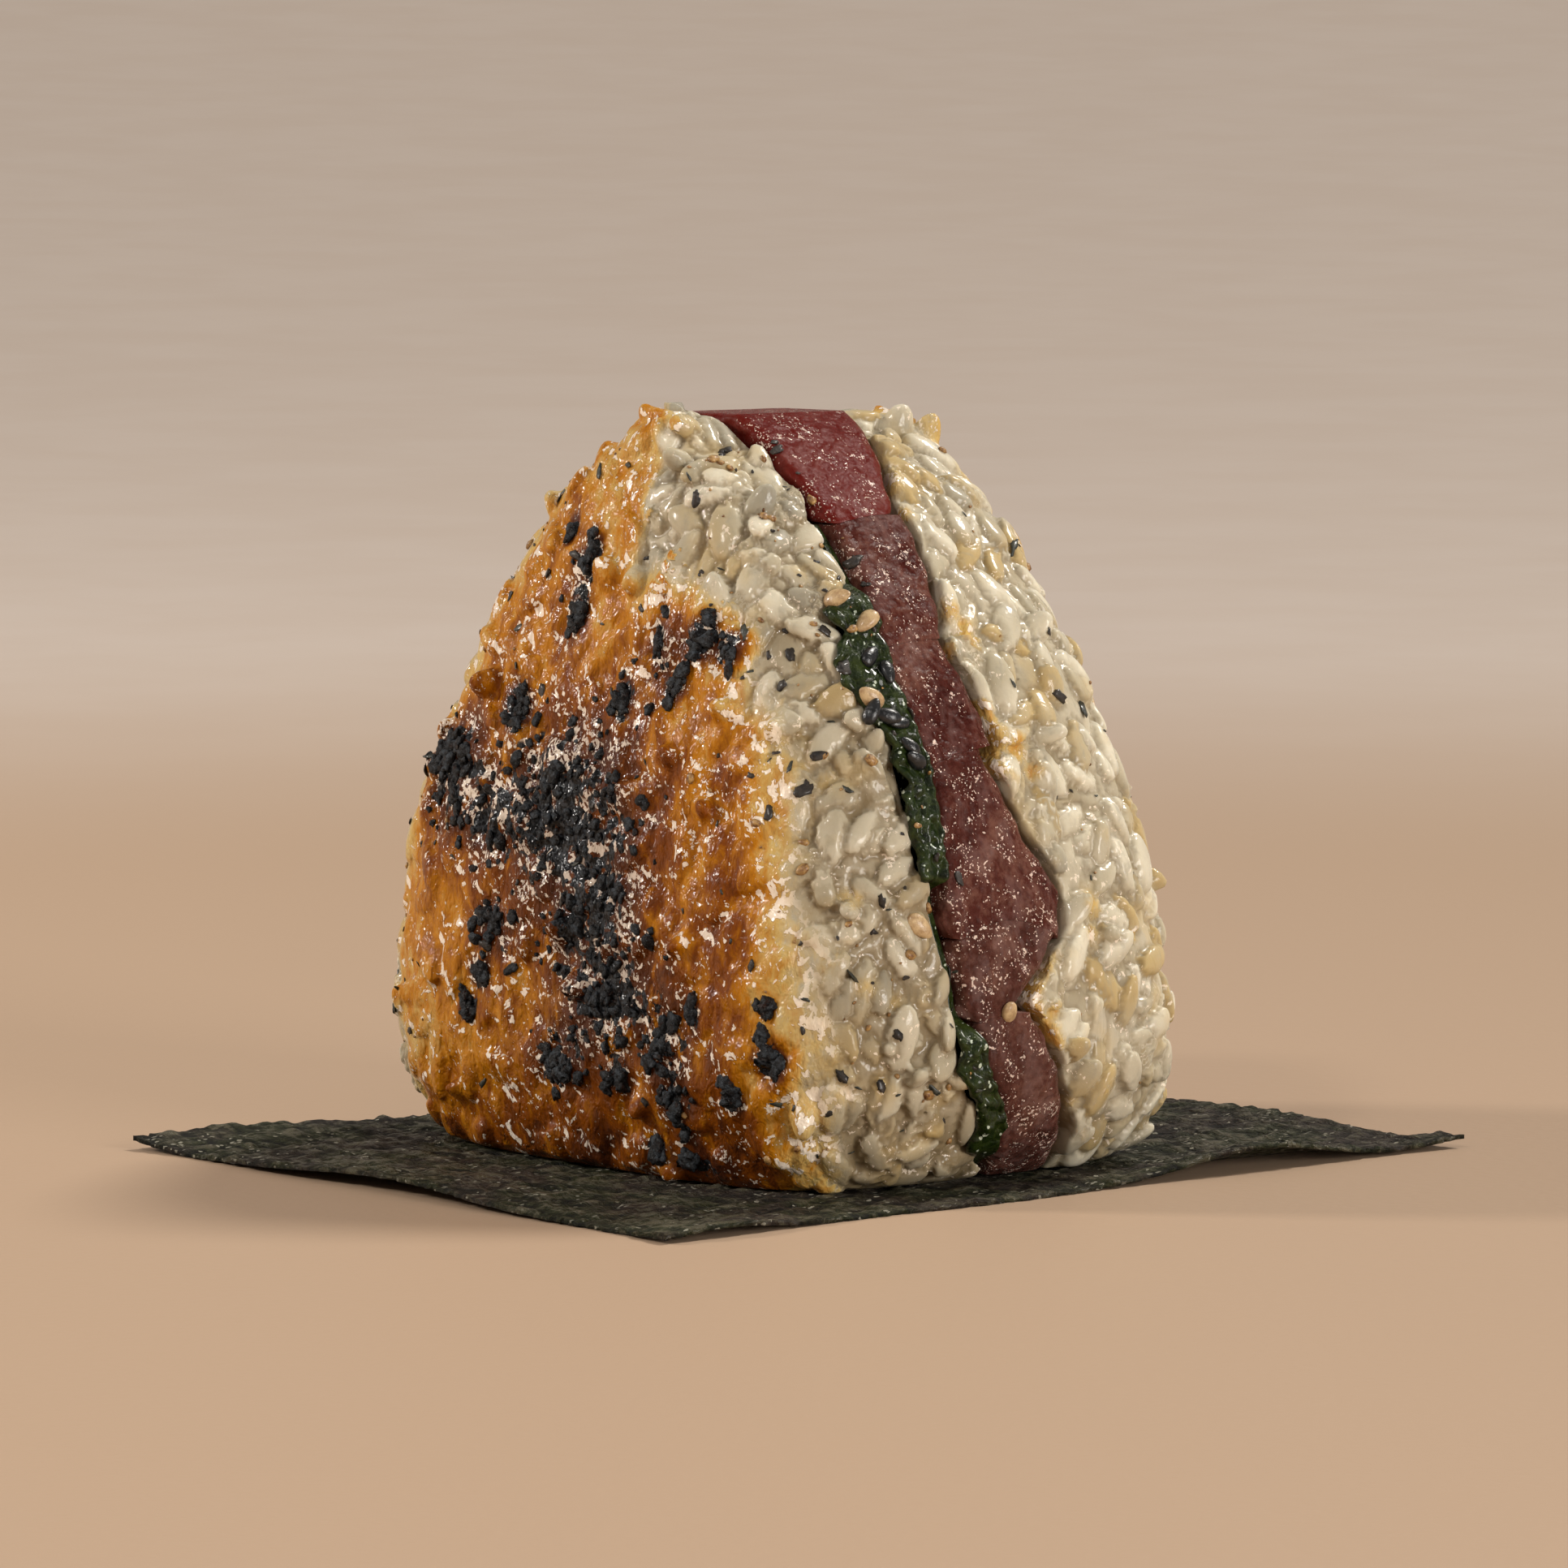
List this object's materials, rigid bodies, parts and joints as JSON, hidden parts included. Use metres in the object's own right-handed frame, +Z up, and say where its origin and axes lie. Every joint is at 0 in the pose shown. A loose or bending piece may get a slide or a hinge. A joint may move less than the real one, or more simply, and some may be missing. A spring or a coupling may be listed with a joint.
{
  "type": "grilled tuna onigiri",
  "caption": "Grilled triangular rice ball standing on a nori sheet, split down its sides by tuna and a green leaf, with a charred glazed face.",
  "frame": {"origin": "middle of the nori sheet's underside, on the plane that the part rests on", "axes": "+X along the base of the triangle, -Y out of the charred face, +Z up"},
  "size_m": [0.089, 0.108, 0.0786],
  "materials": {
    "rice": "sticky cooked rice, glazed amber and charred on its broad faces",
    "tuna": "wet raw tuna, dark red",
    "green_leaf": "wet, wrinkled dark green leaf",
    "nori": "dry pressed seaweed, fibrous and slightly glossy"
  },
  "bodies": {
    "root": {"front_rice": "rice", "back_rice": "rice", "tuna_slice_1": "tuna", "tuna_slice_2": "tuna", "tuna_slice_3": "tuna", "tuna_slice_4": "tuna", "tuna_slice_5": "tuna", "tuna_slice_6": "tuna", "green_leaf": "green_leaf", "nori_sheet": "nori"}
  },
  "joints": []
}
